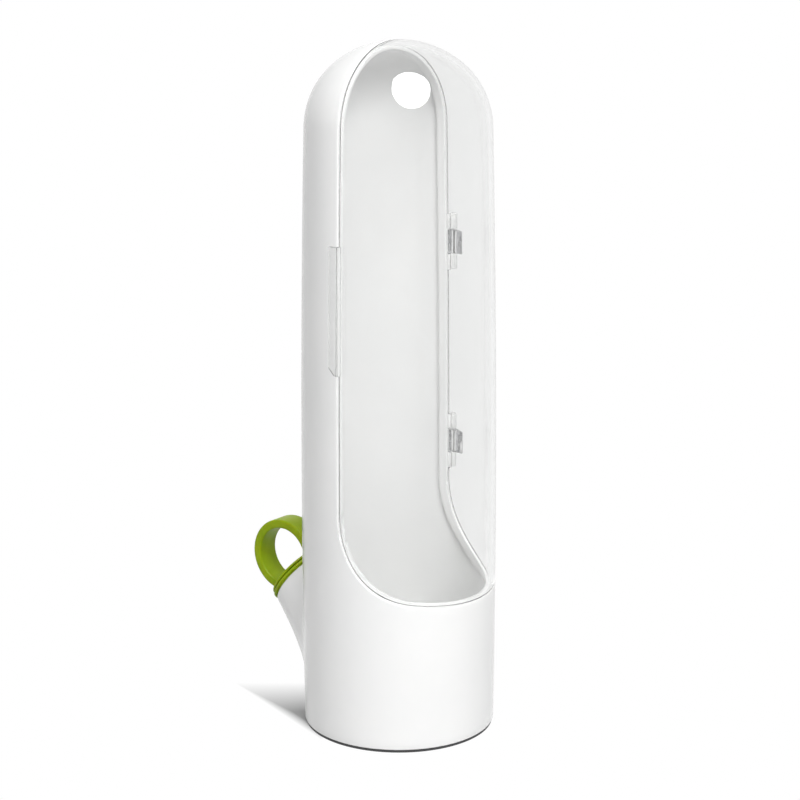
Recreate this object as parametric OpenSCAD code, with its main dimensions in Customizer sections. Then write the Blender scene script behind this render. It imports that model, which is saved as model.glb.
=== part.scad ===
// Herb keeper: a standing pod that keeps cut herbs with their stems in water.
// The pod stands on z = 0 with its axis on Z. The window and door face -Y, the filling spout +Y,
// the hinge is on the +X side and the finger tab on the -X side. Millimetres and degrees.

/* [Pod] */
// Height of the pod above the table
pod_h = 263; // [250:1:320]
// Radius of the body at its fullest
belly_r = 37.5; // [36:0.5:46]
// Height of the fullest section
belly_z = 60; // [50:1:90]
// How much narrower the body is where the dome begins
shoulder_drop = 2.5; // [1.5:0.05:4]
// Height of the dome
dome_h = 31.5; // [30:0.5:38]
// Radius of the dome's shoulder in section
shoulder_round = 31; // [24:0.5:32]
// Wall of the white shell
shell_t = 2.2; // [1.8:0.1:2.8]

/* [Window] */
// Distance of the window's upright edge behind the pod's axis
window_back = 1.2; // [0.5:0.1:6]
// Height of the window's sill at the front
sill_z = 55.6; // [50:0.1:68]
// Rise of the sill towards the back, degrees
sill_slope = 10; // [1:0.5:12]
// Radius of the window's lower rear corner
corner_r = 33.4; // [24:0.1:36]
// Width of the ledge that shows inside the seam
ledge_w = 1.2; // [1:0.1:3]
// Thickness of the ledge
ledge_t = 1.2; // [1:0.1:1.6]
// Width of the frame that carries the ledge behind the seam
frame_w = 3; // [2:0.5:5]

/* [Door] */
// Wall of the clear door
door_t = 2; // [1.6:0.1:2.6]
// Gap between the door's edge and the shell
seam_gap = 0.35; // [0.25:0.05:0.6]
// Gap between the door's inner face and the ledge
ledge_gap = 0.5; // [0.4:0.05:0.8]

/* [Finger tab] */
// Height of the tab's middle above the table
tab_z = 167; // [140:1:190]
// Length of the tab
tab_l = 47; // [30:1:60]
// How far the tab laps over the shell behind the window's edge
tab_lap = 3; // [2:0.1:4]
// How far the tab's root reaches onto the door
tab_root = 1.4; // [1:0.1:3]
// Thickness of the tab
tab_t = 1.2; // [1:0.1:2]
// Gap between the tab and the shell
tab_gap = 0.7; // [0.6:0.05:1.2]
// Slanted corner at the tab's lower end
tab_chamfer = 3; // [1:0.5:4]

/* [Hinge] */
// Distance of the hinge axis outside the fullest radius
hinge_out = 1.8; // [1.5:0.1:3]
// Outer radius of the hinge barrels
barrel_r = 2.4; // [2:0.1:3]
// Radius of the hinge pins
pin_r = 0.9; // [0.7:0.05:1.2]
// Radial clearance of the door's barrels on the pins
pin_clear = 0.06; // [0.02:0.01:0.1]
// Height of the lower hinge
low_hinge_z = 105; // [95:1:125]
// Height of the upper hinge
high_hinge_z = 185; // [165:1:205]
// Length of the door's barrel in each hinge
door_barrel_l = 9; // [6:0.5:14]
// Length of each shell barrel, one above and one below the door's
shell_barrel_l = 6; // [4:0.5:9]
// Clearance beside and around the barrels
barrel_gap = 0.35; // [0.25:0.05:0.6]
// Length of the arms from the barrels to the walls
arm_l = 10; // [8:0.5:12]

/* [Base] */
// Height of the foot pad that shows under the shell
foot_h = 1.2; // [1:0.1:2]
// How far the foot pad is set in from the shell's lower edge
foot_inset = 0.4; // [0.1:0.1:1]
// Middle radius of the foot pad's rib and of its groove in the base cap
rib_r = 30.8; // [24:0.1:31.4]
// Width of the rib
rib_w = 1.6; // [1.2:0.1:2]
// Height of the rib
rib_h = 1.2; // [1:0.1:1.4]
// Thickness of the base cap's plate
plate_t = 2.4; // [2:0.1:3]
// Height of the base cap's skirt above its plate
skirt_h = 6.6; // [6:0.1:9]
// Width of the base cap's skirt
skirt_w = 4.2; // [3.8:0.1:5]
// Extra wall of the shell round the base cap
land_t = 0.5; // [0.3:0.1:1]
// Width of the step that stops the base cap
step_w = 1; // [0.6:0.1:2]
// Thickness of that step
step_t = 2; // [1.5:0.1:3]
// Diameter of the seal ring's round section
seal_d = 2; // [1.6:0.1:2.4]
// Clearance all round the seal ring in its groove
seal_gap = 0.05; // [0.03:0.01:0.1]
// Height of the seal ring above the base cap's plate
seal_up = 3.2; // [2.8:0.1:4]

/* [Spout] */
// Distance of the mouth's centre outside the fullest radius
spout_out = 9.9; // [9:0.1:14]
// Height of the mouth's centre
spout_z = 49.3; // [45:0.1:62]
// Tilt of the spout's axis above the level, degrees
spout_tilt = 38; // [34:1:48]
// Outer radius of the mouth
spout_r = 14.2; // [10:0.1:15]
// Radius of the bore that the plug fits
bore_r = 11.8; // [8:0.1:12]
// Straight length of that bore
bore_l = 7.5; // [7.2:0.1:10]
// Flare of the spout towards the body, degrees
spout_flare = 15.5; // [12:0.5:20]
// Length of the flared spout, up to inside the body
spout_l = 40; // [36:1:44]

/* [Plug] */
// Thickness of the plug's flange
flange_t = 3; // [1.5:0.1:3.6]
// How far the flange stands out past the mouth
flange_lip = 0.2; // [0:0.1:0.6]
// Length of the stopper in the bore
stopper_l = 7; // [5.5:0.1:7]
// Wall of the hollow stopper
stopper_t = 1.8; // [1.4:0.1:2.4]
// Radial clearance of the stopper in the bore
stopper_gap = 0.35; // [0.3:0.05:0.6]
// Height of each sealing rib over the stopper
seal_rib_h = 0.2; // [0.1:0.05:0.25]
// Length of each sealing rib
seal_rib_l = 1; // [0.6:0.1:1.4]
// Depth of the first sealing rib below the flange
seal_rib_z = 1.8; // [1.2:0.1:2.2]
// Distance from the first sealing rib to the second
seal_rib_pitch = 2.6; // [1.6:0.1:2.6]
// Outer radius of the pull ring
ring_r = 14.8; // [10:0.1:16]
// Thickness of the pull ring
ring_t = 3.5; // [2:0.1:4]
// Width of the pull ring
ring_w = 10; // [5:0.1:12]
// Height of the pull ring's centre above the mouth
ring_up = 10.9; // [6:0.1:12.5]
// Shift of the pull ring towards the flange's upper edge
ring_shift = 1.8; // [0:0.1:3]

/* [Hidden] */
$fn = 96;
FAR = 90;                // beyond every face of the pod
EPS = 0.01;              // overlap of pieces that join
pin_fn = 48;             // facets of the thin round pieces
belly_steps = 6;         // straight lengths in each arc of the section
round_steps = 8;
crown_steps = 8;
corner_steps = 12;
arc_step = 6;            // turn to the first point of each arc after the one before it

white = [0.93, 0.93, 0.92];
clear_plastic = [0.86, 0.92, 0.93, 0.35];
lime = [0.55, 0.68, 0.12];
dark_grey = [0.2, 0.2, 0.21];
steel = [0.7, 0.7, 0.72];

// Belly: one arc from the foot to the shoulder, fullest at belly_z
shoulder_z = pod_h - dome_h;
shoulder_rise = shoulder_z - belly_z;
belly_arc = (shoulder_rise * shoulder_rise + shoulder_drop * shoulder_drop) / (2 * shoulder_drop);
belly_lean = asin(shoulder_rise / belly_arc);
function belly_at(z) = belly_r - belly_arc + sqrt(belly_arc * belly_arc - (z - belly_z) * (z - belly_z));

// Dome: a shoulder arc and a crown arc, each tangent to the next
shoulder_r = belly_r - shoulder_drop;
round_r = min(shoulder_round, shoulder_r - 3, dome_h - 0.4);
round_x = shoulder_r - round_r * cos(belly_lean);
round_z = shoulder_z - round_r * sin(belly_lean);
round_down = round_z - pod_h;
crown_r = (round_r * round_r - round_x * round_x - round_down * round_down) / (2 * (round_down + round_r));
crown_z = pod_h - crown_r;
crown_lean = atan2(round_z - crown_z, round_x);

// Window corner: one circle, tangent to the upright edge and to the sill
corner_y = window_back - corner_r;
corner_z = sill_z + (corner_y + belly_r) * tan(sill_slope) + corner_r / cos(sill_slope);
ledge_in = door_t + ledge_gap;

hinge_x = belly_r + hinge_out;
hinge_y = window_back;
hinge_zs = [low_hinge_z, high_hinge_z];
hinge_l = door_barrel_l + 2 * (shell_barrel_l + barrel_gap);
arm_turn = 35;           // where an arm's outer face leaves its barrel, degrees

base_r = belly_at(foot_h);
cap_r = base_r - shell_t - land_t;
plate_top = foot_h + plate_t;
skirt_top = plate_top + skirt_h;
seal_z = plate_top + seal_up;
seal_mid_r = cap_r - seal_gap - seal_d / 2;

mouth_y = belly_r + spout_out;
spout_root_r = spout_r + spout_l * tan(spout_flare);
pocket_root_r = spout_root_r - shell_t / cos(spout_flare);
flange_r = spout_r + flange_lip;
stopper_r = bore_r - stopper_gap;

// Points of an arc, its angles in degrees
function arc(mid, r, from, to, steps) =
    [for (i = [0 : steps]) let (t = from + (to - from) * i / steps) mid + r * [cos(t), sin(t)]];

// Half section of the pod, shrunk inwards by inset, from height low upwards
module section(inset, low) {
    foot_lean = asin((low - belly_z) / (belly_arc - inset));
    polygon(concat(
        [[0, low]],
        arc([belly_r - belly_arc, belly_z], belly_arc - inset, foot_lean, belly_lean, belly_steps),
        arc([round_x, round_z], round_r - inset, belly_lean + arc_step, crown_lean, round_steps),
        arc([0, crown_z], crown_r - inset, crown_lean + arc_step, 90, crown_steps)
    ));
}

// The solid pod, shrunk inwards by inset
module pod_form(inset = 0, low = foot_h) {
    rotate_extrude() section(inset, low);
}

// Side view of the window, its edge moved outwards by grow
module window_outline(grow = 0) {
    corner = arc([corner_y, corner_z], corner_r + grow, sill_slope - 90, 0, corner_steps);
    front_z = corner[0][1] - (FAR + corner[0][0]) * tan(sill_slope);
    polygon(concat([[-FAR, front_z]], corner, [[window_back + grow, pod_h + FAR], [-FAR, pod_h + FAR]]));
}

// A side view in Y and Z drawn out along X
module across() {
    rotate([90, 0, 90]) linear_extrude(height = 2 * FAR, center = true) children();
}

// Places things on the spout's axis: z = 0 at the mouth, +Z outwards
module at_mouth() {
    translate([0, mouth_y, spout_z]) rotate([spout_tilt - 90, 0, 0]) children();
}

// One barrel with its arm; side is +1 towards the shell, -1 towards the door
module leaf(z, length, side) {
    turn = [cos(arm_turn), sin(arm_turn) * side];
    along = [-sin(arm_turn), cos(arm_turn) * side];
    outer = barrel_r * turn;
    translate([hinge_x, hinge_y, z]) {
        cylinder(r = barrel_r, h = length);
        linear_extrude(height = length) polygon([
            [0, 0], outer, outer + arm_l * along, [-arm_l, side * arm_l], [-arm_l, side * seam_gap]
        ]);
    }
}

// Bottom of the shell barrel at one end of a hinge; end is -1 below, +1 above
function shell_barrel_z(z, end) = z + end * (hinge_l - shell_barrel_l) / 2 - shell_barrel_l / 2;

// Room round a barrel, cut from the wall it doesn't belong to
module barrel_room(z, length) {
    translate([hinge_x, hinge_y, z - barrel_gap])
        cylinder(r = barrel_r + barrel_gap, h = length + 2 * barrel_gap);
}

// Hole for a pin, right through one hinge
module pin_bore(z, clear) {
    translate([hinge_x, hinge_y, z])
        cylinder(r = pin_r + clear, h = hinge_l + 2, center = true, $fn = pin_fn);
}

// White shell: back, dome, base and spout in one moulding
module pod_body() {
    color(white) difference() {
        union() {
            difference() {
                pod_form();
                pod_form(shell_t, 0);
            }
            // frame and ledge round the window
            intersection() {
                difference() {
                    pod_form(shell_t / 2);
                    pod_form(ledge_in + ledge_t, 0);
                }
                across() difference() {
                    window_outline(frame_w);
                    window_outline(-ledge_w);
                }
            }
            // land and step that take the base cap
            difference() {
                intersection() {
                    pod_form(shell_t / 2);
                    cylinder(r = FAR, h = skirt_top + step_t);
                }
                cylinder(r = cap_r, h = 2 * skirt_top, center = true);
                cylinder(r = cap_r - step_w, h = FAR);
            }
            // flared spout
            difference() {
                at_mouth() translate([0, 0, -spout_l])
                    cylinder(r1 = spout_root_r, r2 = spout_r, h = spout_l);
                pod_form(shell_t / 2, -FAR);
            }
            // shell barrels of both hinges
            difference() {
                for (z = hinge_zs, end = [-1, 1]) leaf(shell_barrel_z(z, end), shell_barrel_l, 1);
                pod_form(shell_t / 2, 0);
            }
        }
        // pocket for the door, outside the ledge
        difference() {
            across() window_outline();
            pod_form(ledge_in, 0);
            for (z = hinge_zs) translate([hinge_x, hinge_y, z])
                cylinder(r = barrel_r, h = hinge_l, center = true);
        }
        // bore and pocket of the spout
        at_mouth() {
            translate([0, 0, -bore_l - EPS]) cylinder(r = bore_r, h = bore_l + 2);
            translate([0, 0, -spout_l]) cylinder(r1 = pocket_root_r, r2 = bore_r, h = spout_l - bore_l);
        }
        for (z = hinge_zs) {
            barrel_room(z - door_barrel_l / 2, door_barrel_l);
            pin_bore(z, 0);
        }
    }
}

// Clear door: the front of the body and of the dome, with its hinge barrels and finger tab
module clear_door() {
    color(clear_plastic) difference() {
        union() {
            intersection() {
                difference() {
                    pod_form();
                    pod_form(door_t, 0);
                }
                across() window_outline(-seam_gap);
            }
            difference() {
                for (z = hinge_zs) leaf(z - door_barrel_l / 2, door_barrel_l, -1);
                pod_form(door_t / 2, 0);
            }
            finger_tab();
        }
        for (z = hinge_zs) {
            for (end = [-1, 1]) barrel_room(shell_barrel_z(z, end), shell_barrel_l);
            pin_bore(z, pin_clear);
        }
    }
}

// Strip on the door's free edge that laps over the shell, for a fingertip
module finger_tab() {
    low = tab_z - tab_l / 2;
    high = tab_z + tab_l / 2;
    root = window_back - seam_gap - tab_root;
    lap = window_back + tab_lap;
    intersection() {
        // the -X side only
        translate([-FAR, 0, 0]) cube([FAR, FAR, pod_h]);
        union() {
            intersection() {
                difference() {
                    pod_form(-tab_gap - tab_t);
                    pod_form(-tab_gap, 0);
                }
                across() polygon([
                    [root, low], [lap - tab_chamfer, low], [lap, low + tab_chamfer],
                    [lap, high], [root, high]
                ]);
            }
            // root that joins the strip to the door
            intersection() {
                difference() {
                    pod_form(-tab_gap - tab_t / 2);
                    pod_form(door_t / 2, 0);
                }
                across() translate([root, low]) square([tab_root, tab_l]);
            }
        }
    }
}

// Two pins, pressed in the shell's barrels
module hinge_pins() {
    color(steel) for (z = hinge_zs)
        translate([hinge_x, hinge_y, z]) cylinder(r = pin_r, h = hinge_l, center = true, $fn = pin_fn);
}

// Soft plug of the spout with its pull ring
module spout_plug() {
    color(lime) at_mouth() {
        cylinder(r = flange_r, h = flange_t);
        // hollow stopper with two sealing ribs
        difference() {
            union() {
                translate([0, 0, -stopper_l]) cylinder(r = stopper_r, h = stopper_l + EPS);
                for (z = [seal_rib_z, seal_rib_z + seal_rib_pitch]) translate([0, 0, -z])
                    cylinder(r = stopper_r + seal_rib_h, h = seal_rib_l, center = true);
            }
            translate([0, 0, -stopper_l - 1]) cylinder(r = stopper_r - stopper_t, h = stopper_l + 1);
        }
        intersection() {
            // on the tilted axis +Y points down and outwards, so the shift to the upper edge is negative
            translate([0, -ring_shift, ring_up]) rotate([0, 90, 0]) difference() {
                cylinder(r = ring_r, h = ring_w, center = true);
                cylinder(r = ring_r - ring_t, h = ring_w + 2, center = true);
            }
            translate([0, 0, flange_t / 2]) cylinder(r = FAR, h = FAR);
        }
    }
}

// Cap pressed into the base from below, floor of the water space
module base_cap() {
    color(white) difference() {
        translate([0, 0, foot_h]) cylinder(r = cap_r, h = plate_t + skirt_h);
        translate([0, 0, plate_top]) cylinder(r = cap_r - skirt_w, h = FAR);
        // groove of the seal ring
        translate([0, 0, seal_z - seal_d / 2 - 2 * seal_gap]) difference() {
            cylinder(r = FAR, h = seal_d + 4 * seal_gap);
            translate([0, 0, -1]) cylinder(r = seal_mid_r - seal_d / 2 - seal_gap, h = FAR);
        }
        // groove of the foot pad's rib
        translate([0, 0, -1]) difference() {
            cylinder(r = rib_r + rib_w / 2, h = 1 + foot_h + rib_h);
            translate([0, 0, -1]) cylinder(r = rib_r - rib_w / 2, h = FAR);
        }
    }
}

// Seal ring between the base cap and the shell
module cap_seal() {
    color(dark_grey) translate([0, 0, seal_z]) rotate_extrude()
        translate([seal_mid_r, 0]) circle(d = seal_d, $fn = pin_fn);
}

// Soft pad that the pod stands on, with a rib in the base cap's groove
module foot_pad() {
    color(dark_grey) difference() {
        union() {
            cylinder(r = base_r - foot_inset, h = foot_h);
            cylinder(r = rib_r + rib_w / 2, h = foot_h + rib_h);
        }
        translate([0, 0, foot_h]) cylinder(r = rib_r - rib_w / 2, h = FAR);
    }
}

pod_body();
clear_door();
hinge_pins();
spout_plug();
base_cap();
cap_seal();
foot_pad();
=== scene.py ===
# %% [markdown]
# # A herb keeper
# The keeper is a tall domed pod: a glossy white shell, a clear door that wraps round its front, a
# filling spout at the back with a soft green plug, and a dark foot. This lesson loads its CAD
# model and gives each piece the shape and finish that the real one shows.

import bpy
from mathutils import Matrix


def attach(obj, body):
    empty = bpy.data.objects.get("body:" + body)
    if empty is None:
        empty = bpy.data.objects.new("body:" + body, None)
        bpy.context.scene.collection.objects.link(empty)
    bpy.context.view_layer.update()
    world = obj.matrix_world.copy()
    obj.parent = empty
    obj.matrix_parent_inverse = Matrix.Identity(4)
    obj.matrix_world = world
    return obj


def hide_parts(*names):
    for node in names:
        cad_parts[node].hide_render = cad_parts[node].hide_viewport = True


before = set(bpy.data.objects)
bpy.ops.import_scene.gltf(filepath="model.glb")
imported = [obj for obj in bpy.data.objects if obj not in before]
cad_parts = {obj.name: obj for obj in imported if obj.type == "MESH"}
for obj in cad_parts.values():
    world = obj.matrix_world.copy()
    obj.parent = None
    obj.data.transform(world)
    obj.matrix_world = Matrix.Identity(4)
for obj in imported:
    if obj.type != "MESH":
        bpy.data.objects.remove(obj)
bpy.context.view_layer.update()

# %% [markdown]
# ## Sizes
# The CAD model works in millimetres and Blender in metres, so one factor turns the first into the
# second. The pod's outline is three arcs: a very long one for the body, a short one for the
# shoulder and one for the crown. The same few sizes fix the middle of each arc, as they do in the
# CAD model.

# %% Outline of the pod
from math import asin, atan2, cos, hypot, pi, radians, sin, sqrt, tan

import bmesh
import bpy
from mathutils import Matrix, Quaternion, Vector

MM = 0.001
pod_height = 263 * MM
belly_radius = 37.5 * MM
belly_height = 60 * MM
shoulder_drop = 2.5 * MM
dome_height = 31.5 * MM
shoulder_round = 31 * MM
foot_height = 1.2 * MM

shoulder_height = pod_height - dome_height
rise = shoulder_height - belly_height
belly_arc = (rise ** 2 + shoulder_drop ** 2) / (2 * shoulder_drop)
belly_lean = asin(rise / belly_arc)
belly_middle = Vector((belly_radius - belly_arc, 0, belly_height))
shoulder_radius = belly_radius - shoulder_drop
round_middle = Vector((
    shoulder_radius - shoulder_round * cos(belly_lean), 0,
    shoulder_height - shoulder_round * sin(belly_lean),
))
down = round_middle.z - pod_height
crown_arc = (shoulder_round ** 2 - round_middle.x ** 2 - down ** 2) / (2 * (down + shoulder_round))
crown_middle = Vector((0, 0, pod_height - crown_arc))
crown_lean = atan2(round_middle.z - crown_middle.z, round_middle.x)
print(f"crown arc {crown_arc / MM:.1f} mm, from {crown_lean:.2f} rad")

# %% [markdown]
# ## The pod's surface
# A lathe is the natural tool for a round object. One vertex is spun three times in the upright
# plane, once round the middle of each arc, which draws the outline. Spinning that line once round
# the pod's axis makes the surface. The number of steps sets how fine it is: 192 columns keep a
# glossy reflection smooth. Near the top so many columns would crowd together, so some of them end
# early. Blender may number the parts of a mesh differently each time, and a later step would then
# choose other vertices to keep, so the parts are sorted by their places.

# %% A surface of revolution
COLUMNS = 192
TOUCHING = 1e-6  # vertices nearer than this, in metres, are joined
TINY = 1e-7  # a length that counts as none
thinning = ((14 * MM, 2), (7 * MM, 4), (3.6 * MM, 8), (1.9 * MM, 16))


def thin_columns(bm, turn):
    """Within each reach of the axis at the top, keeps one column in so many."""
    least_run = 0.2 * MM
    for reach, keep in thinning:
        spare = []
        for e in bm.edges:
            far = max(e.verts, key=lambda v: v.co.xy.length)
            near = e.other_vert(far)
            runs_inwards = far.co.xy.length - near.co.xy.length > least_run
            if runs_inwards and far.co.z > shoulder_height and far.co.xy.length < reach:
                column = round((atan2(far.co.y, far.co.x) - turn) * COLUMNS / (2 * pi))
                if column % keep:
                    spare.append(e)
        bmesh.ops.dissolve_edges(bm, edges=spare, use_verts=True)


def set_order(bm):
    """Sorts vertices by place, and edges and faces by their vertices, alike in every run."""
    places = sorted(bm.verts, key=lambda v: [round(c, 6) for c in v.co])
    rank = {v: i for i, v in enumerate(places)}
    bm.verts.sort(key=rank.get)
    bm.verts.index_update()
    for parts in (bm.edges, bm.faces):
        row = sorted(parts, key=lambda part: sorted(v.index for v in part.verts))
        rank = {part: i for i, part in enumerate(row)}
        parts.sort(key=rank.get)


def pod_skin(inset=0.0, low=foot_height, turn=0.0):
    """The pod's surface, drawn in by inset, from height low to the top."""
    bm = bmesh.new()
    lean = asin((low - belly_height) / (belly_arc - inset))
    start = belly_middle + (belly_arc - inset) * Vector((cos(lean), 0, sin(lean)))
    tip = bmesh.ops.create_vert(bm, co=start)["vert"]
    arcs = (
        (belly_middle, belly_lean - lean, 72),
        (round_middle, crown_lean - belly_lean, 16),
        (crown_middle, pi / 2 - crown_lean, 20),
    )
    for middle, angle, steps in arcs:
        spun = bmesh.ops.spin(bm, geom=tip, cent=middle, axis=(0, -1, 0), angle=angle, steps=steps)
        tip = [g for g in spun["geom_last"] if isinstance(g, bmesh.types.BMVert)]
    bmesh.ops.rotate(bm, verts=bm.verts, cent=(0, 0, 0), matrix=Matrix.Rotation(turn, 3, "Z"))
    bmesh.ops.spin(
        bm, geom=bm.verts[:] + bm.edges[:], cent=(0, 0, 0), axis=(0, 0, 1),
        angle=2 * pi, steps=COLUMNS, use_merge=True,
    )
    bmesh.ops.remove_doubles(bm, verts=bm.verts, dist=TOUCHING)
    thin_columns(bm, turn)
    bmesh.ops.recalc_face_normals(bm, faces=bm.faces)
    set_order(bm)
    return bm


# %% [markdown]
# The direction straight out of the pod is needed often, to give a skin its wall. It comes from
# the arc that a point belongs to, so it is exact even where a cut has left odd-shaped faces.

# %% Straight out of the pod
def outward(p):
    """Unit direction straight out of the pod at a point on or near its surface."""
    r = hypot(p.x, p.y)
    if r < TINY:
        return Vector((0, 0, 1))
    side = Vector((r, 0, p.z))
    lean = atan2(p.z - round_middle.z, r - round_middle.x)
    middle = belly_middle if lean < belly_lean else round_middle
    if r < round_middle.x or lean > crown_lean:
        middle = crown_middle
    way = (side - middle).normalized()
    return Vector((way.x * p.x / r, way.x * p.y / r, way.z))


# %% [markdown]
# ## Cutting the window
# Shell and door are parts of one surface, parted along one line. Seen from the side that line
# runs up the back of the window, round one big corner and along the sill. The window is convex,
# so a row of straight cuts, each one touching the corner's circle, trims the surface to it. A
# Boolean could do it too, but these cuts also leave the line as a clean edge loop.

# %% The window's line as a row of planes
window_back = 1.2 * MM
sill_height = 55.6 * MM
sill_slope = radians(10)
corner_round = 33.4 * MM
corner_y = window_back - corner_round
sill_at_corner = sill_height + (corner_y + belly_radius) * tan(sill_slope)
corner_z = sill_at_corner + corner_round / cos(sill_slope)


def window_planes(grow=0.0, steps=30):
    """Planes round the window, moved outwards by grow, each a point and its outward direction."""
    planes = []
    for i in range(steps + 1):
        angle = (sill_slope - pi / 2) * (1 - i / steps)
        way = Vector((0, cos(angle), sin(angle)))
        planes.append((Vector((0, corner_y, corner_z)) + (corner_round + grow) * way, way))
    return planes


def each_once(items):
    """The items without repeats, in a fixed order, so that every run gives the same mesh."""
    return list(dict.fromkeys(items))


def carve(bm, planes, faces=None):
    """Cuts faces along each plane in turn and returns those that lie inside all of them."""
    inside = bm.faces[:] if faces is None else faces
    for point, way in planes:
        edges = each_once(e for f in inside for e in f.edges)
        verts = each_once(v for f in inside for v in f.verts)
        cut = bmesh.ops.bisect_plane(
            bm, geom=verts + edges + inside, dist=TINY, plane_co=point, plane_no=way
        )
        inside = [
            g for g in cut["geom"]
            if isinstance(g, bmesh.types.BMFace) and (g.calc_center_median() - point).dot(way) < 0
        ]
    return inside


# %% [markdown]
# A cut leaves a few very short edges where it passes close to a corner of the surface's grid.
# They would show as dark nicks in the gloss, so they are closed onto the cut line, which stays
# where it is.

# %% Closing short edges on the cut line
def clean_cut(bm, reach=0.3 * MM):
    """Closes short edges on and beside the free edges."""
    set_order(bm)
    rim = [v for v in bm.verts if v.is_boundary]
    bmesh.ops.remove_doubles(bm, verts=rim, dist=reach)
    rim = [v for v in bm.verts if v.is_boundary]
    beside = [e.other_vert(v) for v in rim for e in v.link_edges]
    close = bmesh.ops.find_doubles(bm, verts=each_once(rim + beside), keep_verts=rim, dist=reach)
    bmesh.ops.weld_verts(bm, targetmap=close["targetmap"])
    bmesh.ops.dissolve_degenerate(bm, edges=bm.edges, dist=TOUCHING)


# %% [markdown]
# ## Walls with rounded rims
# A moulded wall has two faces and a soft edge between them. The second face is a copy of the
# first, moved straight in. The free edge is then pulled out in small steps, each vertex along its
# own path, round a quarter circle, across the wall and round again, and joined to the copy. The
# same tool later draws the whole spout, with a longer path.

# %% The second face, and the tool that pulls an edge along
def second_face(bm, depth):
    """Adds the wall's inner face at that depth. Returns the inner vertex of each outer one."""
    outer = bm.verts[:]
    copy = bmesh.ops.duplicate(bm, geom=bm.verts[:] + bm.edges[:] + bm.faces[:])
    twin = {v: copy["vert_map"][v] for v in outer}
    for v in outer:
        twin[v].co = v.co - depth * outward(v.co)
    return twin


def push_edges(bm, edges):
    """Extrudes edges in place. Returns the new edges and the new vertices."""
    made = bmesh.ops.extrude_edge_only(bm, edges=edges)["geom"]
    fresh = [g for g in made if isinstance(g, bmesh.types.BMVert)]
    known = set(fresh)
    return [g for g in made if isinstance(g, bmesh.types.BMEdge) and set(g.verts) <= known], fresh


def pull_along(bm, edges, paths, ends):
    """Extrudes edges, each vertex along its own path, and joins the last ones to the ends."""
    home = {v: v for e in edges for v in e.verts}
    for step in range(len(next(iter(paths.values())))):
        edges, fresh = push_edges(bm, edges)
        first = {}
        for v in fresh:
            first[v] = next(home[o] for o in (e.other_vert(v) for e in v.link_edges) if o in home)
            v.co = paths[first[v]][step]
        home = first
    bmesh.ops.weld_verts(bm, targetmap={v: ends[start] for v, start in home.items()})


# %% [markdown]
# A rim's path has to know which way leads off the surface at each point of the edge. That is the
# edge's own direction crossed with the face's normal. Where two edges meet, their ways are added,
# so the path leaves between them. A bevel could round the rim too, but the points of a cut line
# stand unevenly, and there a bevel tends to fold over itself.

# %% The rounded rim
def rim_ways(bm):
    """For each vertex on a free edge, the direction that leads off the surface there."""
    ways = {}
    for e in bm.edges:
        if e.is_boundary:
            a, b = e.verts
            face = e.link_faces[0]
            way = (b.co - a.co).cross(face.normal)
            if way.dot(face.calc_center_median() - a.co) > 0:
                way.negate()
            for v in e.verts:
                ways[v] = ways.get(v, Vector()) + way
    return {v: way.normalized() for v, way in ways.items()}


def rim_paths(edges, ways, twin, rounding, steps=3):
    """Path of each vertex round the outer edge of the rim and then round the inner one."""
    paths = {}
    turns = [(i + 1) * pi / 2 / steps for i in range(steps)]
    for v in each_once(v for e in edges for v in e.verts):
        across, back = ways[v], (twin[v].co - v.co).normalized()
        outer = [v.co + rounding * (sin(t) * across + (1 - cos(t)) * back) for t in turns]
        inner = [twin[v].co + rounding * (sin(t) * across - (1 - cos(t)) * back) for t in turns]
        paths[v] = outer + inner[::-1] + [twin[v].co.copy()]
    return paths


def give_wall(bm, depth, rounding):
    """Turns a skin into a closed wall with a rounded rim."""
    edges = [e for e in bm.edges if e.is_boundary]
    ways = rim_ways(bm)
    twin = second_face(bm, depth)
    pull_along(bm, edges, rim_paths(edges, ways, twin, rounding), twin)
    bmesh.ops.recalc_face_normals(bm, faces=bm.faces)


# %% [markdown]
# ## From a bmesh to an object
# Every piece ends the same way: its bmesh becomes an object, its shading is smooth except across
# sharp edges and on flat ends with many corners, it gets its finish, it is told which CAD body it
# moves with, and the CAD nodes that it stands for are hidden.

# %% Finishing a piece
SHARP_ANGLE = 35  # degrees
MANY_CORNERS = 8


def finish_piece(name, bm, finish, body, replaces, sharp=SHARP_ANGLE):
    """Makes an object of the bmesh, sets its shading, finish and body, and hides the CAD nodes."""
    mesh = bpy.data.meshes.new(name)
    bmesh.ops.delete(bm, geom=[e for e in bm.edges if e.is_wire], context="EDGES")
    bm.normal_update()
    bm.to_mesh(mesh)
    bm.free()
    mesh.shade_smooth()
    for face in mesh.polygons:
        if face.loop_total > MANY_CORNERS:
            face.use_smooth = False
    mesh.set_sharp_from_angle(angle=radians(sharp))
    mesh.materials.append(finish)
    piece = bpy.data.objects.new(name, mesh)
    bpy.context.scene.collection.objects.link(piece)
    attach(piece, body)
    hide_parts(*replaces)
    print(f"{name}: {len(mesh.polygons)} faces, {len(mesh.vertices)} vertices")
    return piece


def join_in(bm, other):
    """Adds another bmesh to this one."""
    spare = bpy.data.meshes.new("spare")
    other.to_mesh(spare)
    other.free()
    bm.from_mesh(spare)
    bpy.data.meshes.remove(spare)


# %% [markdown]
# ## Finishes
# No moulded surface is one flat colour. Tool marks, handling and dust change its gloss from place
# to place, and a fine ripple bends its reflections. Several finishes need this, so it is built
# once as a node group, with the size and strength of each effect as inputs.

# %% A node group for surface grain
def tree_node(tree, kind, **settings):
    """Adds a node and sets its properties and inputs by name."""
    node = tree.nodes.new("ShaderNode" + kind)
    for name, value in settings.items():
        if hasattr(node, name):
            setattr(node, name, value)
        else:
            node.inputs[name.replace("_", " ")].default_value = value
    return node


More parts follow.
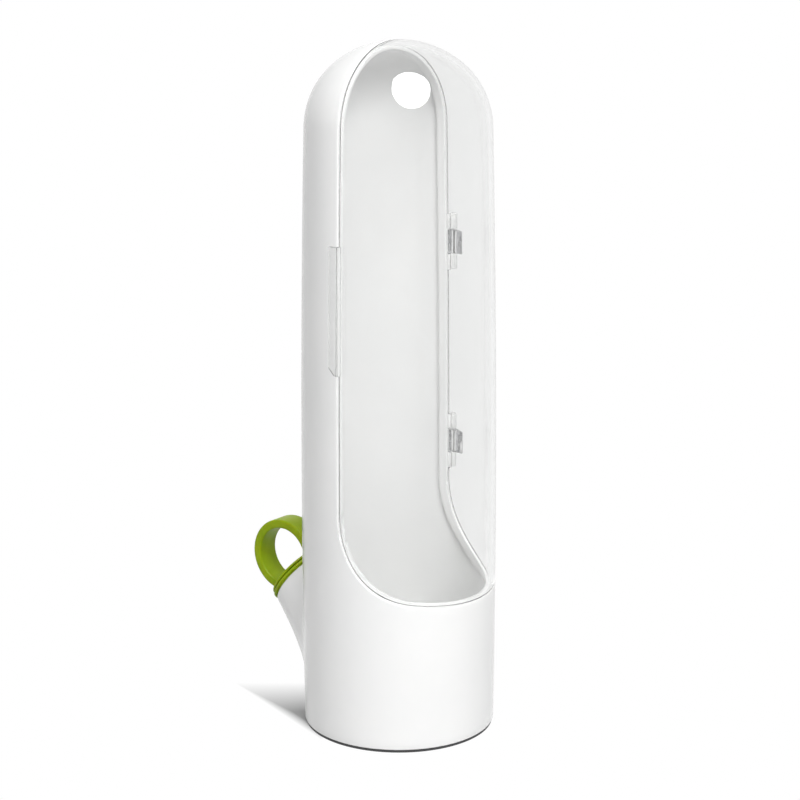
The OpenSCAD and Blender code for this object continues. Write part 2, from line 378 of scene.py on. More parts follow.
def grain_group():
    """Grain of a moulded surface: a mask of handling marks, its roughness and its ripple."""
    tree = bpy.data.node_groups.new("surface_grain", "ShaderNodeTree")
    for name, value in (
        ("Patch Scale", 30.0), ("Grain Scale", 900.0), ("Grain Height", 0.00002),
        ("Smooth", 0.2), ("Rough", 0.3),
    ):
        socket = tree.interface.new_socket(name, in_out="INPUT", socket_type="NodeSocketFloat")
        socket.default_value = value
    for name, kind in (("Patches", "Float"), ("Roughness", "Float"), ("Normal", "Vector")):
        tree.interface.new_socket(name, in_out="OUTPUT", socket_type="NodeSocket" + kind)
    given = tree.nodes.new("NodeGroupInput")
    result = tree.nodes.new("NodeGroupOutput")
    place = tree_node(tree, "TexCoord")
    patches = tree_node(tree, "TexNoise", Detail=4.0, Roughness=0.6)
    grain = tree_node(tree, "TexNoise", Detail=2.0, Roughness=0.5)
    spread = tree_node(tree, "MapRange", From_Min=0.35, From_Max=0.65)
    gloss = tree_node(tree, "MapRange")
    ripple = tree_node(tree, "Bump", Strength=1.0)
    link = tree.links.new
    link(place.outputs["Object"], patches.inputs["Vector"])
    link(place.outputs["Object"], grain.inputs["Vector"])
    link(given.outputs["Patch Scale"], patches.inputs["Scale"])
    link(given.outputs["Grain Scale"], grain.inputs["Scale"])
    link(patches.outputs["Fac"], spread.inputs["Value"])
    link(spread.outputs["Result"], gloss.inputs["Value"])
    link(given.outputs["Smooth"], gloss.inputs["To Min"])
    link(given.outputs["Rough"], gloss.inputs["To Max"])
    link(grain.outputs["Fac"], ripple.inputs["Height"])
    link(given.outputs["Grain Height"], ripple.inputs["Distance"])
    link(spread.outputs["Result"], result.inputs["Patches"])
    link(gloss.outputs["Result"], result.inputs["Roughness"])
    link(ripple.outputs["Normal"], result.inputs["Normal"])
    return tree


surface_grain = grain_group()
print("grain group", [socket.name for socket in surface_grain.interface.items_tree])

# %% [markdown]
# Each finish is then one Principled shader in a material of its own, fed by that group. The
# handling marks run its colour between two close tones, and its gloss between two values of
# roughness.

# %% A finish built on that grain
def grained_finish(name, light, dark, grain, **shader):
    """A material whose colour runs between two tones, with the grain's roughness and ripple."""
    finish = bpy.data.materials.new(name)
    finish.use_nodes = True
    tree = finish.node_tree
    surface = tree.nodes["Principled BSDF"]
    for key, value in shader.items():
        surface.inputs[key.replace("_", " ")].default_value = value
    group = tree.nodes.new("ShaderNodeGroup")
    group.node_tree = surface_grain
    for key, value in grain.items():
        group.inputs[key.replace("_", " ")].default_value = value
    tone = tree_node(tree, "Mix", data_type="RGBA")
    light_in, dark_in, tone_out = tone.inputs[6], tone.inputs[7], tone.outputs[2]  # for colours
    light_in.default_value = (*light, 1)
    dark_in.default_value = (*dark, 1)
    tree.links.new(group.outputs["Patches"], tone.inputs[0])
    tree.links.new(tone_out, surface.inputs["Base Color"])
    tree.links.new(group.outputs["Roughness"], surface.inputs["Roughness"])
    tree.links.new(group.outputs["Normal"], surface.inputs["Normal"])
    return finish


# %% [markdown]
# ### White plastic
# The shell and its cap are glossy white plastic. One flat white would look like fresh paint, so
# the colour runs between two tones. Both stay a little under pure white, so that the lamps don't
# burn out the lit side.

# %% White plastic
white_plastic = grained_finish(
    "white_plastic", (0.87, 0.87, 0.865), (0.845, 0.848, 0.845),
    dict(Patch_Scale=24.0, Grain_Scale=260.0, Grain_Height=0.000004, Smooth=0.16, Rough=0.22),
    Specular_IOR_Level=0.5,
)

# %% [markdown]
# ### Clear plastic
# The door is clear, with a trace of grey. Light must reach what is inside, and tracing it through
# bent paths is slow and noisy, so the material is simply transparent for shadow rays and for
# light that has bounced off a dull surface. Faint scuffs make it a little rougher in patches.

# %% Clear plastic
def any_ray(tree, *kinds):
    """A socket that is 1 for a ray of any of these kinds and 0 for every other ray."""
    ray = tree_node(tree, "LightPath")
    found = ray.outputs[kinds[0]]
    for kind in kinds[1:]:
        larger = tree_node(tree, "Math", operation="MAXIMUM")
        tree.links.new(found, larger.inputs[0])
        tree.links.new(ray.outputs[kind], larger.inputs[1])
        found = larger.outputs[0]
    return found


clear_plastic = grained_finish(
    "clear_plastic", (0.92, 0.923, 0.92), (0.905, 0.908, 0.905),
    dict(Patch_Scale=40.0, Grain_Scale=320.0, Grain_Height=0.000002, Smooth=0.01, Rough=0.035),
    Transmission_Weight=1.0, IOR=1.49,
)
tree = clear_plastic.node_tree
open_way = tree_node(tree, "BsdfTransparent", Color=(0.97, 0.97, 0.97, 1))
either = tree_node(tree, "MixShader")
tree.links.new(any_ray(tree, "Is Shadow Ray", "Is Diffuse Ray"), either.inputs[0])
tree.links.new(tree.nodes["Principled BSDF"].outputs[0], either.inputs[1])
tree.links.new(open_way.outputs[0], either.inputs[2])
tree.links.new(either.outputs[0], tree.nodes["Material Output"].inputs["Surface"])

# %% [markdown]
# ### Green silicone, dark rubber and steel
# Silicone is matt with a fine grain and glows a little where light passes through its edges, so a
# part of its light is scattered under the surface. The foot and the seal are rubber, almost
# black. The hinge pins are drawn wire.

# %% Soft and metal finishes
green_silicone = grained_finish(
    "green_silicone", (0.33, 0.44, 0.006), (0.24, 0.35, 0.004),
    dict(Patch_Scale=60.0, Grain_Scale=1500.0, Grain_Height=0.00001, Smooth=0.36, Rough=0.5),
    Specular_IOR_Level=0.15, Subsurface_Weight=0.2, Subsurface_Scale=0.002,
)
dark_rubber = grained_finish(
    "dark_rubber", (0.035, 0.035, 0.037), (0.055, 0.055, 0.056),
    dict(Patch_Scale=70.0, Grain_Scale=2000.0, Grain_Height=0.00002, Smooth=0.55, Rough=0.75),
)
pin_steel = grained_finish(
    "pin_steel", (0.62, 0.62, 0.63), (0.5, 0.5, 0.52),
    dict(Patch_Scale=300.0, Grain_Scale=2500.0, Grain_Height=0.000004, Smooth=0.2, Rough=0.34),
    Metallic=1.0,
)

# %% [markdown]
# ## The white shell
# The shell is the keeper's back, dome, base wall and spout, all one moulding. It is the pod's
# surface without the window. Its rim is rounded by 0.3 mm, so the surface is first cut back by as
# much. Beside the hinge it has two notches that leave room for the door's barrels.

# %% Shell: the skin and its window
shell_wall = 2.2 * MM
rim_round = 0.3 * MM
shell_turn = radians(-0.51)  # lets the cuts meet the surface's columns well

shell = pod_skin(low=foot_height + rim_round, turn=shell_turn)
bmesh.ops.delete(shell, geom=carve(shell, window_planes(rim_round)), context="FACES")
print("shell skin", len(shell.faces), "faces")

# %% Shell: notches for the door's barrels
hinge_x = belly_radius + 1.8 * MM
hinge_y = window_back
hinge_heights = (105 * MM, 185 * MM)
barrel_radius = 2.4 * MM
barrel_gap = 0.35 * MM
door_barrel = 9 * MM
shell_barrel = 6 * MM
notch_depth = 1.8 * MM


def cut_notch(bm, way, height, barrel):
    """Cuts room for a barrel into the rim on +X; way is 1 into the shell and -1 into the door."""
    reach = barrel / 2 + barrel_gap
    beside_rim = 20 * MM
    sides = [
        (Vector((0, window_back + way * notch_depth, 0)), Vector((0, way, 0))),
        (Vector((0, 0, height - reach)), Vector((0, 0, -1))),
        (Vector((0, 0, height + reach)), Vector((0, 0, 1))),
    ]
    near = []
    for f in bm.faces:
        middle = f.calc_center_median()
        if middle.x > 0 and abs(middle.y) < beside_rim:
            near.append(f)
    bmesh.ops.delete(bm, geom=carve(bm, sides, near), context="FACES")


for height in hinge_heights:
    cut_notch(shell, 1, height, door_barrel)
print("shell skin with notches", len(shell.faces), "faces")

# %% [markdown]
# The spout grows out of the shell in one smooth sweep. An oval is cut out of the back, again by a
# row of planes, and its edge will be pulled out to the mouth.

# %% Shell: the oval at the spout's root
root_height = 32.3 * MM
root_half_width = 24.1 * MM
root_half_height = 28.8 * MM


def root_planes(steps=48):
    """Planes round the spout's root, an oval seen from behind."""
    planes = []
    for i in range(steps):
        angle = 2 * pi * i / steps
        across, up = root_half_width * sin(angle), root_half_height * cos(angle)
        point = Vector((across, 0, root_height + up))
        way = Vector((sin(angle) / root_half_width, 0, cos(angle) / root_half_height)).normalized()
        planes.append((point, way))
    return planes


behind = [f for f in shell.faces if f.calc_center_median().y > 15 * MM]
bmesh.ops.delete(shell, geom=carve(shell, root_planes(), behind), context="FACES")
clean_cut(shell)

# %% [markdown]
# Each point of the oval's edge follows its own path: a curve that leaves the body along its
# surface and arrives in line with the spout's flare, the rounded lip, the straight bore that the
# plug fits, and a second curve back to the inside of the wall. A curve with two end points and
# two end directions is a Bezier curve, and a short function gives its points.

# %% Shell: the spout's paths
spout_tilt = radians(38)
spout_flare = radians(18.5)
mouth = Vector((0, belly_radius + 9.9 * MM, 49.3 * MM))
spout_out = Vector((0, cos(spout_tilt), sin(spout_tilt)))
spout_up = Vector((0, -sin(spout_tilt), cos(spout_tilt)))
# the end of the flare, the lip and the bore, as (radius, height) in millimetres from the mouth
bore_radius = 11.8
flare_end = (14.4, -1.1)
lip_profile = [
    (14.2, -0.65), (13.9, -0.3), (13.5, -0.08), (13.1, 0), (12.2, 0), (11.92, -0.1),
    (bore_radius, -0.35),
]
bore_profile = [(bore_radius, height) for height in (-2.5, -4.7, -6.9)]


def curve_points(start, start_way, start_pull, end, end_way, end_pull, steps):
    """Points of a Bezier curve after its start, up to its end."""
    reach = (end - start).length
    a, b = start + start_pull * reach * start_way, end - end_pull * reach * end_way
    points = []
    for i in range(1, steps + 1):
        t = i / steps
        s = 1 - t
        points.append(s ** 3 * start + 3 * s ** 2 * t * a + 3 * s * t ** 2 * b + t ** 3 * end)
    return points


def along_surface(p, towards):
    """Direction along the pod's surface at p that leads towards a point."""
    way = towards - p
    straight = outward(p)
    return (way - way.dot(straight) * straight).normalized()


def spout_path(v, twin):
    """Path of one point of the root's edge, out to the mouth and back inside."""
    turn = atan2(v.co.x / root_half_width, (v.co.z - root_height) / root_half_height)
    spoke = sin(turn) * Vector((1, 0, 0)) + cos(turn) * spout_up

    def at(radius, height):
        return mouth + height * MM * spout_out + radius * MM * spoke

    flare = cos(spout_flare) * spout_out - sin(spout_flare) * spoke
    lip = at(*flare_end)
    deep = at(*bore_profile[-1])
    path = curve_points(
        start=v.co, start_way=along_surface(v.co, lip), start_pull=0.3,
        end=lip, end_way=flare, end_pull=0.08, steps=20,
    )
    path += [at(*p) for p in lip_profile + bore_profile]
    path += curve_points(
        start=deep, start_way=-flare, start_pull=0.1,
        end=twin.co, end_way=-along_surface(twin.co, deep), end_pull=0.31, steps=12,
    )
    return path


# %% [markdown]
# Now the shell gets its second face. The window's and the base's edges get the short path round a
# rim, and the oval's edge gets the long one that draws the spout.

# %% Shell: walls, rims and spout
free = [e for e in shell.edges if e.is_boundary]
root = [
    e for e in free
    if all(v.co.y > 20 * MM and v.co.z > foot_height + 2 * MM for v in e.verts)
]
others = [e for e in free if e not in set(root)]
ways = rim_ways(shell)
twin = second_face(shell, shell_wall)
pull_along(shell, others, rim_paths(others, ways, twin, rim_round), twin)
pull_along(shell, root, {v: spout_path(v, twin[v]) for e in root for v in e.verts}, twin)
bmesh.ops.recalc_face_normals(shell, faces=shell.faces)
print("shell", len(shell.faces), "faces,", sum(e.is_boundary for e in shell.edges), "open edges")

# %% [markdown]
# Inside the seam the door closes on a ledge, carried by a frame behind the shell's edge. Both are
# bands of the same surface, drawn in, between two copies of the window's line.

# %% Shell: ledge and frame
def strip(inset, depth, wide, narrow, turn):
    """A strip of wall between two window lines, drawn in by inset and as thick as depth."""
    rounding = 0.25 * MM
    bm = pod_skin(inset, turn=radians(turn))
    kept = set(carve(bm, window_planes(wide - rounding)))
    bmesh.ops.delete(bm, geom=[f for f in bm.faces if f not in kept], context="FACES")
    bmesh.ops.delete(bm, geom=carve(bm, window_planes(narrow + rounding)), context="FACES")
    clean_cut(bm)
    give_wall(bm, depth, rounding)
    return bm


ledge = strip(inset=2.5 * MM, depth=1.2 * MM, wide=2.7 * MM, narrow=-0.9 * MM, turn=0.6)
ledge_frame = strip(inset=2 * MM, depth=1.6 * MM, wide=3 * MM, narrow=0.1 * MM, turn=0)
join_in(shell, ledge)
join_in(shell, ledge_frame)
print("shell with ledge", len(shell.faces), "faces")

# %% [markdown]
# ## Turned rings
# The base has round parts: the land and step that take the cap, the cap itself and the foot. Each
# is a closed outline spun once round the axis. No moulded edge is quite sharp, and a softened one
# catches the light, so a small bevel rounds every edge that turns by more than a set angle.

# %% Softening edges and spinning an outline
def soften(bm, size, segments, angle=SHARP_ANGLE):
    """Bevels the edges of a closed mesh that turn by more than the angle."""
    bmesh.ops.recalc_face_normals(bm, faces=bm.faces)
    bm.normal_update()
    sharp = [e for e in bm.edges if e.is_manifold and e.calc_face_angle() > radians(angle)]
    bmesh.ops.bevel(
        bm, geom=sharp, offset=size, offset_type="OFFSET", segments=segments,
        profile=0.5, affect="EDGES", material=-1,
    )


def turned(points, rounding, columns=COLUMNS, segments=2):
    """A solid of revolution from an outline of (radius, height) in millimetres."""
    bm = bmesh.new()
    verts = [bm.verts.new((r * MM, 0, z * MM)) for r, z in points]
    for a, b in zip(verts, verts[1:]):
        bm.edges.new((a, b))
    if points[0][0] > 0:
        bm.edges.new((verts[-1], verts[0]))
    bmesh.ops.spin(
        bm, geom=bm.verts[:] + bm.edges[:], cent=(0, 0, 0), axis=(0, 0, 1),
        angle=2 * pi, steps=columns, use_merge=True,
    )
    bmesh.ops.remove_doubles(bm, verts=bm.verts, dist=TOUCHING)
    soften(bm, rounding * MM, segments)
    return bm


land = [(35.6, 1.6), (34.5, 1.6), (34.5, 10.2), (33.5, 10.2), (33.5, 12.2), (35.6, 12.2)]
join_in(shell, turned(land, 0.2))
print("shell with land", len(shell.faces), "faces")

# %% [markdown]
# ## Hinge barrels
# Each hinge is a row of three barrels on one pin: the shell's above and below, the door's
# between. A barrel and the arm that joins it to the wall are one outline, pushed up along the
# axis and softened. A cylinder and a box would do too, but they would leave a crease where they
# meet.

# %% A barrel with its arm
arm_turn = radians(35)
barrel_turn = radians(150)
barrel_steps = 18


def knuckle(low, length, side, root):
    """A barrel and its arm; side is 1 towards the shell and -1 towards the door."""
    bm = bmesh.new()
    step = (arm_turn + barrel_turn) / barrel_steps
    turns = [side * (arm_turn - i * step) for i in range(barrel_steps + 1)]
    line = [(barrel_radius * cos(turn), barrel_radius * sin(turn)) for turn in turns] + root
    line = [bm.verts.new((hinge_x + x, hinge_y + y, low)) for x, y in line]
    pushed = bmesh.ops.extrude_face_region(bm, geom=[bm.faces.new(line)], use_keep_orig=True)
    top = [g for g in pushed["geom"] if isinstance(g, bmesh.types.BMVert)]
    bmesh.ops.translate(bm, verts=top, vec=(0, 0, length))
    soften(bm, 0.25 * MM, segments=3)
    return bm


# where the shell's arms end, seen from the hinge's axis
shell_root = [(x * MM, y * MM) for x, y in ((-3.2, 0.5), (-5.4, 10.7), (-4.9, 11.2))]
hinge_length = door_barrel + 2 * (shell_barrel + barrel_gap)
for height in hinge_heights:
    for low in (height - hinge_length / 2, height + hinge_length / 2 - shell_barrel):
        join_in(shell, knuckle(low, shell_barrel, 1, shell_root))

finish_piece("shell", shell, white_plastic, "pod", ["pod_body"])

# %% [markdown]
# ## The clear door
# The door is one clear moulding that wraps round the front of the body and of the dome. Drawn on
# its own it would never quite meet the shell, so it is the rest of the same surface, cut along
# the same line with a gap for the seam. It has notches too, for the shell's barrels.

# %% Door: the moulding
door_wall = 2 * MM
seam_gap = 0.35 * MM

door = pod_skin()
kept = set(carve(door, window_planes(-seam_gap - rim_round)))
bmesh.ops.delete(door, geom=[f for f in door.faces if f not in kept], context="FACES")
for height in hinge_heights:
    for end in (-1, 1):
        cut_notch(door, -1, height + end * (hinge_length - shell_barrel) / 2, shell_barrel)
clean_cut(door)
give_wall(door, door_wall, rim_round)
print("door", len(door.faces), "faces")

# %% [markdown]
# The finger tab is a strip on the door's free edge that laps over the shell. Its section is an L:
# a root on the door and a lip that stands clear of the shell. The section is pushed up in steps
# and shrunk a little at each, because the pod narrows upwards. A slanted cut takes off its lower
# corner.

# %% Door: the finger tab
tab_low = 143.5 * MM
tab_high = 190.5 * MM
tab_root = 1.4 * MM  # width of the root on the door
tab_lap = 3 * MM  # how far the lip laps over the shell
tab_outside = 1.9 * MM  # height of the lip's outer face above the pod's surface
tab_inside = 0.7 * MM  # height of its inner face
tab_sunk = 0.03 * MM  # depth of the root in the door's wall


def radius_at(height):
    """Radius of the pod's body at a height."""
    return belly_middle.x + sqrt(belly_arc ** 2 - (height - belly_height) ** 2)


def finger_tab(across=8, levels=12):
    """The strip on the door's free edge, on the -X side."""
    edge = window_back - seam_gap
    root, lap = edge - tab_root, window_back + tab_lap
    r = radius_at(tab_low)
    outline = [(r + tab_outside, root + (lap - root) * i / across) for i in range(across + 1)]
    outline += [(r + tab_inside, lap + (edge - lap) * i / across) for i in range(across + 1)]
    outline += [(r - tab_sunk, edge), (r - tab_sunk, root)]
    bm = bmesh.new()
    line = [bm.verts.new((-sqrt(reach ** 2 - y ** 2), y, tab_low)) for reach, y in outline]
    edges = [bm.edges.new(pair) for pair in zip(line, line[1:] + line[:1])]
    here = tab_low
    for i in range(levels):
        up = tab_low + (tab_high - tab_low) * (i + 1) / levels
        edges, fresh = push_edges(bm, edges)
        for v in fresh:
            reach = hypot(v.co.x, v.co.y) * radius_at(up) / radius_at(here)
            v.co = (-sqrt(reach ** 2 - v.co.y ** 2), v.co.y, up)
        here = up
    bmesh.ops.bisect_plane(
        bm, geom=bm.verts[:] + bm.edges[:] + bm.faces[:], plane_co=(0, window_back, tab_low),
        plane_no=Vector((0, 1, -1)).normalized(), clear_outer=True,
    )
    bmesh.ops.holes_fill(bm, edges=[e for e in bm.edges if e.is_boundary])
    soften(bm, rim_round, segments=3, angle=30)
    return bm


join_in(door, finger_tab())
print("door with tab", len(door.faces), "faces")

# %% [markdown]
# The door's arms only just touch its wall. Clear plastic shows every face inside it, so two clear
# shapes that overlap deeply would show a box in the wall.

# %% Door: hinge barrels
arm_sunk = 0.05 * MM
for height in hinge_heights:
    skin = radius_at(height) - arm_sunk
    door_root = []
    for y in (-0.35, -1.6, -2.9, -4.2, -5.5, -6.8, -7.7):
        door_root.append((sqrt(skin ** 2 - (hinge_y + y * MM) ** 2) - hinge_x, y * MM))
    join_in(door, knuckle(height - door_barrel / 2, door_barrel, -1, door_root))
finish_piece("door", door, clear_plastic, "door", ["clear_door"])

# %% [markdown]
# ## The plug
# The plug is one soft moulding: a round flange on the spout's mouth with a groove round it, a
# hollow stopper with two sealing ribs below it, and a pull ring above. Flange and stopper are
# turned on the spout's own axis, then moved to the mouth by one matrix.

# %% Plug: flange and stopper
PLUG_COLUMNS = 128
at_mouth = Matrix.Translation(mouth) @ Matrix((
    (1, 0, 0, 0),
    (0, -spout_up.y, spout_out.y, 0),
    (0, -spout_up.z, spout_out.z, 0),
    (0, 0, 0, 1),
))
flange = [
    (0, 3), (13.4, 3), (13.7, 2.88), (13.8, 2.6), (13.8, 2.2), (13.6, 2.05), (12.4, 2),
    (12.4, 1.55), (14.1, 1.5), (14.4, 1.25), (14.4, 0.75), (14.15, 0.45), (13.4, 0.4),
    (13.4, 0.03), (0, 0.03),
]
stopper = [
    (9.65, 0.8), (11.45, 0.8), (11.45, -1.3), (11.65, -1.4), (11.65, -2.2), (11.45, -2.3),
    (11.45, -3.9), (11.65, -4), (11.65, -4.8), (11.45, -4.9), (11.45, -7), (9.65, -7),
]
plug = turned(flange, 0.1, columns=PLUG_COLUMNS)
join_in(plug, turned(stopper, 0.08, columns=PLUG_COLUMNS))
print("plug without its ring", len(plug.faces), "faces")

# %% [markdown]
# The ring is a flat strip with rounded edges, bent round a finger. A rectangle with its corners
# rounded is spun round the ring's centre, from inside the flange on one side to inside it on the
# other. Near the flange the strip swells, as a moulded root does.

# %% Plug: the pull ring
ring_outer = 14.8 * MM
ring_thick = 3.5 * MM
ring_wide = 10 * MM
ring_round = 0.8 * MM
ring_middle = Vector((0, -1.8 * MM, 10.9 * MM))
ring_foot = radians(-40)  # how far below the level of its middle the ring starts and ends
ring_end = 2.3 * MM  # height of its cut ends, inside the flange
flange_top = 3 * MM
swell_height = 2.6 * MM
swell = 0.16


def pull_ring():
    """The plug's ring, in the plug's own frame, with its feet inside the flange."""
    bm = bmesh.new()
    outer, inner = ring_outer, ring_outer - ring_thick
    corners = [(outer, -0.5), (outer, 0.5), (inner, 0.5), (inner, -0.5)]
    bm.faces.new([bm.verts.new((x * ring_wide, r, 0)) for r, x in corners])
    bmesh.ops.bevel(
        bm, geom=bm.verts[:], offset=ring_round, offset_type="OFFSET", segments=5,
        profile=0.5, affect="VERTICES", material=-1,
    )
    feet = Matrix.Rotation(ring_foot, 3, "X")
    bmesh.ops.rotate(bm, verts=bm.verts, cent=(0, 0, 0), matrix=feet)
    bmesh.ops.spin(
        bm, geom=bm.faces[:], cent=(0, 0, 0), axis=(1, 0, 0), angle=pi - 2 * ring_foot, steps=104,
    )
    bmesh.ops.translate(bm, verts=bm.verts, vec=ring_middle)
    spine = (outer + inner) / 2
    for v in bm.verts:
        near = min(1 - (v.co.z - flange_top) / swell_height, 1)
        if near > 0:
            flat = Vector((0, v.co.y, v.co.z - ring_middle.z)).normalized()
            v.co += swell * near ** 2 * (v.co - ring_middle - spine * flat)
    bmesh.ops.bisect_plane(
        bm, geom=bm.verts[:] + bm.edges[:] + bm.faces[:], plane_co=(0, 0, ring_end),
        plane_no=(0, 0, -1), clear_outer=True,
    )
    bmesh.ops.holes_fill(bm, edges=[e for e in bm.edges if e.is_boundary])
    bmesh.ops.recalc_face_normals(bm, faces=bm.faces)
    return bm


join_in(plug, pull_ring())
bmesh.ops.transform(plug, matrix=at_mouth, verts=plug.verts)
finish_piece("plug", plug, green_silicone, "plug", ["spout_plug"], sharp=50)

# %% [markdown]
# ## Base cap
# The cap closes the base from below. Its groove holds the seal ring, and a second groove
# underneath grips the rib of the foot. It is round, so it is turned, like the land that it sits
# in.

# %% Base cap
cap = turned([
    (0, 1.25), (30, 1.25), (30, 2.45), (31.6, 2.45), (31.6, 1.25), (34.45, 1.25), (34.45, 5.7),
    (32.4, 5.7), (32.4, 7.9), (34.45, 7.9), (34.45, 10.15), (30.3, 10.15), (30.3, 3.6), (0, 3.6),
], 0.25)
finish_piece("cap", cap, white_plastic, "pod", ["base_cap"])

# %% [markdown]
# ## Foot
# The foot is a soft pad that shows as a dark line under the shell. Shallow rings underneath give
# it grip. A bump in the material could draw them, but as a few points of the outline they are
# real.

# %% Foot
grip_rings = (9, 14, 19, 24, 29, 33.5)
outline = [(0, 0)]
for r in grip_rings:
    outline += [(r - 0.6, 0), (r - 0.4, 0.45), (r + 0.4, 0.45), (r + 0.6, 0)]
outline += [(36.8, 0), (36.8, 1.2), (31.5, 1.2), (31.5, 2.3), (30.1, 2.3), (30.1, 1.2), (0, 1.2)]
foot = turned(outline, 0.2)
finish_piece("foot", foot, dark_rubber, "pod", ["foot_pad"])

# %% [markdown]
# ## Hinge pins
# Two pins of drawn wire carry the door, each as long as its row of barrels. They are turned rods
# with softened ends, and one object, because the CAD model has them as one node.

# %% Hinge pins
pin_radius = 0.9
pins = bmesh.new()
for height in hinge_heights:
    half = hinge_length / 2 / MM
    rod = [(0, -half), (pin_radius, -half), (pin_radius, half), (0, half)]
    pin = turned(rod, 0.22, columns=32, segments=3)
    bmesh.ops.translate(pin, verts=pin.verts, vec=(hinge_x, hinge_y, height))
    join_in(pins, pin)
finish_piece("pins", pins, pin_steel, "pod", ["hinge_pins"])

# %% [markdown]
# ## The seal ring
# The seal ring keeps the water in round the cap. It is a plain ring hidden in its groove, and its
# CAD shape is already right, so it stays and only gets its rubber finish.

# %% Seal ring
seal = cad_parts["cap_seal"]
seal.data.materials.clear()
seal.data.materials.append(dark_rubber)
print("seal ring", len(seal.data.polygons), "faces")

# %% [markdown]
# ## Camera
# The camera stands between the pod's front and the side with the finger tab, a little above the
# dome, and looks slightly down. A long lens from further away keeps the sides nearly parallel.

# %% Camera
camera_turn = radians(-54.38)
camera_dip = radians(12.39)
camera_roll = radians(-0.077)
camera_place = Vector((0.00047, -0.6685, 0.27485))  # before the turn round the pod

lens = bpy.data.cameras.new("camera")
lens.lens = 80.76
lens.sensor_width = 36
camera = bpy.data.objects.new("camera", lens)
around = Matrix.Rotation(camera_turn, 4, "Z")
camera.matrix_world = (
    Matrix.Translation(around @ camera_place)
    @ around
    @ Matrix.Rotation(pi / 2 - camera_dip, 4, "X")
    @ Matrix.Rotation(camera_roll, 4, "Z")
)
bpy.context.scene.collection.objects.link(camera)
bpy.context.scene.camera = camera
print("camera at", [round(c, 3) for c in camera.matrix_world.translation])

# %% [markdown]
# ## Floor and light
# The keeper stands on white, with a soft shadow beside the spout. Lamps strong enough to make a
# floor white would burn out the pod. So the floor and the world are white by themselves to the
# camera, and to the rays that gloss and clear plastic send on, and the lamps only have to light
# the object.

# %% World
SHOWN_RAYS = ("Is Camera Ray", "Is Glossy Ray", "Is Transmission Ray")
world_light = 0.345

world = bpy.data.worlds.new("studio")
bpy.context.scene.world = world
world.use_nodes = True
tree = world.node_tree
tree.nodes.clear()
level = tree_node(tree, "MapRange", To_Min=world_light, To_Max=1.0)
sky = tree_node(tree, "Background", Color=(1, 1, 1, 1))
target = tree_node(tree, "OutputWorld")
tree.links.new(any_ray(tree, *SHOWN_RAYS), level.inputs["Value"])
tree.links.new(level.outputs["Result"], sky.inputs["Strength"])
tree.links.new(sky.outputs[0], target.inputs["Surface"])
print("world lights the object at", world_light)

# %% [markdown]
# ### Floor
# Only beside the spout does the floor's own paint show, and with it the pod's real shadow from the
# lamps. That place is a wedge with three soft sides: past any of them the floor glows white, and
# across each side the glow fades out, which paints the shadow's shape and soft edges. To the camera
# the paint is darker than it is to the light that bounces off it, a painted shade that makes the
# shadow deep while the pod still gets its light from below.

# %% Floor
floor_reach = 4
floor_drop = 0.1 * MM
ground = bmesh.new()
bmesh.ops.create_grid(ground, x_segments=1, y_segments=1, size=floor_reach)
bmesh.ops.translate(ground, verts=ground.verts, vec=(0, 0, -floor_drop))
mesh = bpy.data.meshes.new("floor")
ground.to_mesh(mesh)
ground.free()
floor = bpy.data.objects.new("floor", mesh)
bpy.context.scene.collection.objects.link(floor)
print("floor", 2 * floor_reach, "m wide")

# %% Floor: the paint
floor_paint = bpy.data.materials.new("floor_paint")
floor_paint.use_nodes = True
tree = floor_paint.node_tree
link = tree.links.new
paint = tree.nodes["Principled BSDF"]
paint.inputs["Roughness"].default_value = 0.9
paint.inputs["Specular IOR Level"].default_value = 0.1
place = tree_node(tree, "TexCoord")
grain = tree_node(tree, "TexNoise", Scale=40.0, Detail=3.0)
tone = tree_node(tree, "MapRange", To_Min=0.5, To_Max=0.52)
# darker paint to the camera only: painted shade that deepens the shadow
camera_shade = tree_node(tree, "MapRange", To_Min=1.0, To_Max=0.62)
shade = tree_node(tree, "Math", operation="MULTIPLY")
link(place.outputs["Object"], grain.inputs["Vector"])
link(grain.outputs["Fac"], tone.inputs["Value"])
link(any_ray(tree, "Is Camera Ray"), camera_shade.inputs["Value"])
link(tone.outputs["Result"], shade.inputs[0])
link(camera_shade.outputs["Result"], shade.inputs[1])
link(shade.outputs[0], paint.inputs["Base Color"])


# %% Floor: the wedge of painted shadow, where the paint shows
def shadow_wedge_side(way, dark, clear):
    """A side of the painted shadow wedge: 1 past clear, measured along way, and nearly 0 before
    dark.
    """
    along = tree_node(tree, "VectorMath", operation="DOT_PRODUCT")
    along.inputs[1].default_value = way
    ramp = tree_node(tree, "MapRange", From_Min=dark, From_Max=clear, To_Min=0.05, To_Max=1.0)
    link(place.outputs["Object"], along.inputs[0])
    link(along.outputs["Value"], ramp.inputs["Value"])
    return ramp.outputs["Result"]


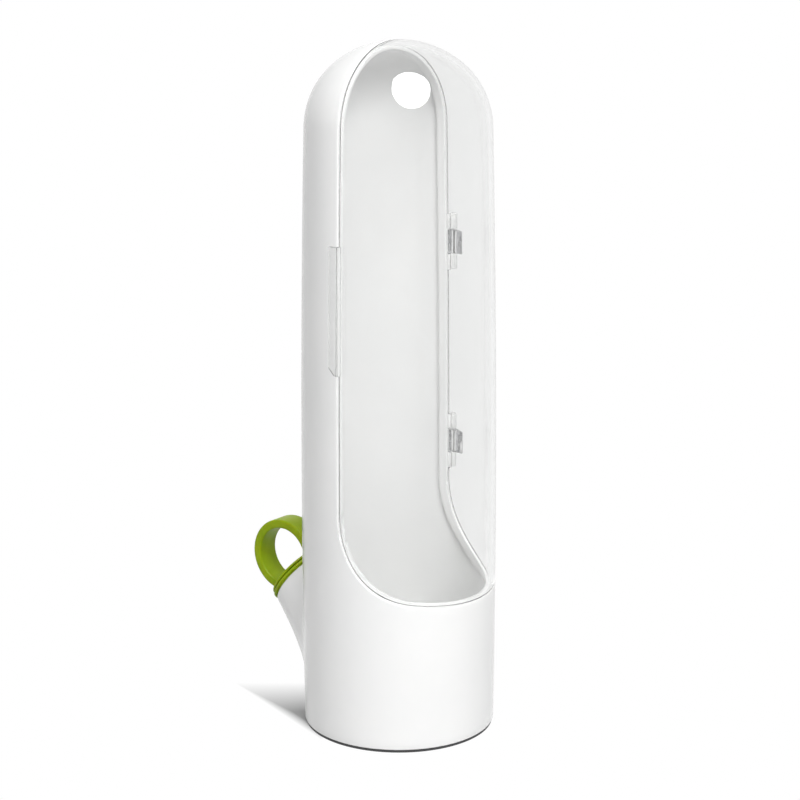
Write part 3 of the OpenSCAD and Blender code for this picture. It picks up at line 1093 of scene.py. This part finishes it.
outside = tree_node(tree, "Math", operation="MAXIMUM")
lift = tree_node(tree, "Math", operation="MAXIMUM")
amount = tree_node(tree, "Math", operation="MULTIPLY")
glow = tree_node(tree, "Emission", Strength=1.0)
blend = tree_node(tree, "MixShader")
# across these three sides the white glow fades into the paint: a painted shadow over the lamps'
# real one
link(shadow_wedge_side((0.813, 0.582, 0), dark=0.004, clear=0.0355), outside.inputs[0])
link(shadow_wedge_side((0.93, -0.366, 0), dark=-0.0335, clear=-0.0382), outside.inputs[1])
link(shadow_wedge_side((-0.162, -0.977, 0), dark=-0.014, clear=-0.004), lift.inputs[1])
link(outside.outputs[0], lift.inputs[0])
link(lift.outputs[0], amount.inputs[0])
link(any_ray(tree, *SHOWN_RAYS), amount.inputs[1])
link(amount.outputs[0], blend.inputs[0])
link(paint.outputs[0], blend.inputs[1])
link(glow.outputs[0], blend.inputs[2])
link(blend.outputs[0], tree.nodes["Material Output"].inputs["Surface"])
mesh.materials.append(floor_paint)

# %% [markdown]
# ### Lamps
# A key lamp in front, a high one at the tab's side and a weak one behind give the round pod its
# slow change of tone. Glossy plastic would mirror them as discs, so reflections don't show them.
# One more lamp does the opposite: it lights nothing, and only its reflection shows, as the bright
# oval in the dome.

# %% Lamps
LAMP_DISTANCE = 1.4
LAMP_SIZE = (0.7, 0.7)


def panel(name, place, aim, size, power, roll=0):
    """A soft oval lamp at place that points at aim; size is its width and height, roll turns it."""
    data = bpy.data.lights.new(name, "AREA")
    data.shape = "ELLIPSE"
    data.size, data.size_y = size
    data.energy = power
    lamp = bpy.data.objects.new(name, data)
    lamp.location = place
    facing = (Vector(aim) - Vector(place)).to_track_quat("-Z", "Y")
    lamp.rotation_euler = (facing @ Quaternion((0, 0, 1), radians(roll))).to_euler()
    bpy.context.scene.collection.objects.link(lamp)
    return lamp


def direction(azimuth, height):
    """Unit vector towards a compass angle from +X and a height above the level, in degrees."""
    a, h = radians(azimuth), radians(height)
    return Vector((cos(a) * cos(h), sin(a) * cos(h), sin(h)))


middle = Vector((0, 0, 0.13))
for name, azimuth, upwards, power in (
    ("key_lamp", 240, 30, 13.1), ("fill_lamp", 200, 60, 8.3), ("back_lamp", 35, 20, 5),
):
    spot = middle + LAMP_DISTANCE * direction(azimuth, upwards)
    lamp = panel(name, spot, middle, LAMP_SIZE, power)
    lamp.visible_glossy = False
    lamp.visible_transmission = False
    print(name, power, "W")
crown = Vector((0, 0, 0.24))
gleam = panel("gleam_lamp", crown + 1.3 * direction(-120, 56), crown, (0.95, 1.32), 70, roll=-20)
gleam.visible_diffuse = False
gleam.visible_transmission = False

# %% [markdown]
# ## Colour
# Colours are shown as they are written.

# %% Colour
scene = bpy.context.scene
scene.view_settings.view_transform = "Standard"
